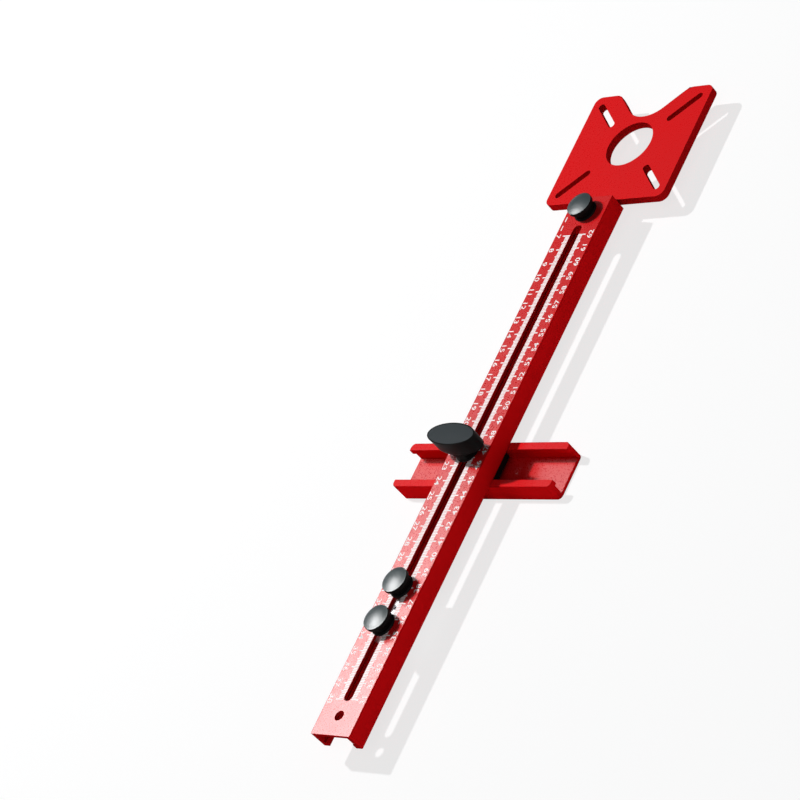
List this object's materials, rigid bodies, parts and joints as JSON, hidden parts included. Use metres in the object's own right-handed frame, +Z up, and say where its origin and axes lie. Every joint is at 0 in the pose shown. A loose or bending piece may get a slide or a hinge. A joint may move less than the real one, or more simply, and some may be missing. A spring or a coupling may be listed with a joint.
{
  "type": "router circle cutting jig",
  "caption": "Slotted channel rail with a printed scale, a router plate at one end, a sliding pivot block with a centre pin, and a swivelling fence rail clamped below by an oval knob.",
  "frame": {"origin": "on the axis of the router bore, level with the underside of the plate and the main rail", "axes": "+Z up out of the numbered face of the rail, +Y along the rail towards the plate's far edge, +X across the rail"},
  "size_m": [0.12, 0.445, 0.0413],
  "materials": {
    "red_anodised": "satin red anodised, fine blasted grain",
    "bright_aluminium": "machined",
    "zinc_steel": "zinc plated",
    "black_oxide": "black oxide",
    "black_plastic": "moulded, fine grain",
    "grey_cover": "matte moulded",
    "gloss_cap": "polished"
  },
  "bodies": {
    "rail": {"main_rail": "red_anodised", "router_plate": "red_anodised", "tongue_block": "red_anodised", "tongue_screws": "zinc_steel", "plate_knob_washer": "black_oxide"},
    "plate_knob": {"plate_knob_body": "black_plastic", "plate_knob_cap": "gloss_cap", "plate_knob_stud": "zinc_steel"},
    "fence_slider": {"fence_knob_washer": "black_oxide"},
    "fence_knob": {"fence_knob_body": "black_plastic", "fence_knob_cover": "grey_cover", "fence_knob_bolt": "zinc_steel"},
    "fence_nut": {"fence_t_nut": "black_oxide"},
    "fence": {"fence_rail": "red_anodised"},
    "pivot_carriage": {"pivot_block": "bright_aluminium", "pivot_pin": "zinc_steel", "upper_knob_washer": "black_oxide", "lower_knob_washer": "black_oxide"},
    "upper_knob": {"upper_knob_body": "black_plastic", "upper_knob_cap": "gloss_cap", "upper_knob_stud": "zinc_steel"},
    "lower_knob": {"lower_knob_body": "black_plastic", "lower_knob_cap": "gloss_cap", "lower_knob_stud": "zinc_steel"}
  },
  "joints": [
    {"name": "plate_knob_turn", "type": "hinge", "parent": "rail", "child": "plate_knob", "pos_m": [0, -0.056, 0.013], "axis": [0, 0, 1], "continuous": true},
    {"name": "fence_slide", "type": "slide", "parent": "rail", "child": "fence_slider", "axis": [0, 1, 0], "range_m": [-0.02, 0.13]},
    {"name": "fence_knob_turn", "type": "hinge", "parent": "fence_slider", "child": "fence_knob", "pos_m": [0, -0.224, 0.013], "axis": [0, 0, 1], "continuous": true},
    {"name": "fence_swivel", "type": "hinge", "parent": "fence_slider", "child": "fence_nut", "pos_m": [0, -0.224, 0], "axis": [0, 0, 1], "range_deg": [-45, 45]},
    {"name": "fence_cross_slide", "type": "slide", "parent": "fence_nut", "child": "fence", "axis": [1, 0, 0], "range_m": [-0.02, 0.02]},
    {"name": "pivot_slide", "type": "slide", "parent": "rail", "child": "pivot_carriage", "axis": [0, 1, 0], "range_m": [-0.035, 0.005]},
    {"name": "upper_knob_turn", "type": "hinge", "parent": "pivot_carriage", "child": "upper_knob", "pos_m": [0, -0.3125, 0.013], "axis": [0, 0, 1], "continuous": true},
    {"name": "lower_knob_turn", "type": "hinge", "parent": "pivot_carriage", "child": "lower_knob", "pos_m": [0, -0.3365, 0.013], "axis": [0, 0, 1], "continuous": true}
  ]
}
